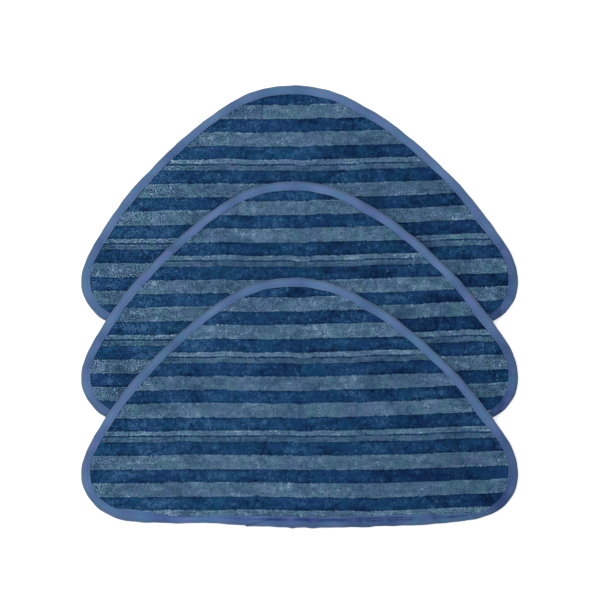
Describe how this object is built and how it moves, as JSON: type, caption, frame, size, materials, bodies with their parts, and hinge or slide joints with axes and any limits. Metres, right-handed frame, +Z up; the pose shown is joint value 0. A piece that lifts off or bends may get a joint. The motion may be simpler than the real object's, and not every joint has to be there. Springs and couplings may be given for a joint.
{
  "type": "steam mop pad set",
  "caption": "Fanned set of washable rounded-triangle microfibre steam mop pads with striped faces and taped edges.",
  "frame": {"origin": "centre of the fan's footprint, on the surface that the pads lie on", "axes": "+X across the pads, +Y towards their tips, +Z up out of their striped faces"},
  "size_m": [0.3, 0.304, 0.0201],
  "materials": {
    "striped_microfibre": "looped pile in light and dark blue stripes",
    "wadding": "soft, matt",
    "loop_backing": "brushed loops",
    "edge_tape": "woven tape, slight sheen",
    "thread": "twisted thread"
  },
  "bodies": {
    "rear_pad": {"rear_face_cloth": "striped_microfibre", "rear_core": "wadding", "rear_backing": "loop_backing", "rear_binding": "edge_tape", "rear_needle_thread": "thread", "rear_bobbin_thread": "thread"},
    "middle_pad": {"middle_face_cloth": "striped_microfibre", "middle_core": "wadding", "middle_backing": "loop_backing", "middle_binding": "edge_tape", "middle_needle_thread": "thread", "middle_bobbin_thread": "thread"},
    "front_pad": {"front_face_cloth": "striped_microfibre", "front_core": "wadding", "front_backing": "loop_backing", "front_binding": "edge_tape", "front_needle_thread": "thread", "front_bobbin_thread": "thread"}
  },
  "joints": [
    {"name": "lift_middle_pad", "type": "slide", "parent": "rear_pad", "child": "middle_pad", "axis": [0, 0, 1], "range_m": [0, 0.08]},
    {"name": "lift_front_pad", "type": "slide", "parent": "middle_pad", "child": "front_pad", "axis": [0, 0, 1], "range_m": [0, 0.08]}
  ]
}
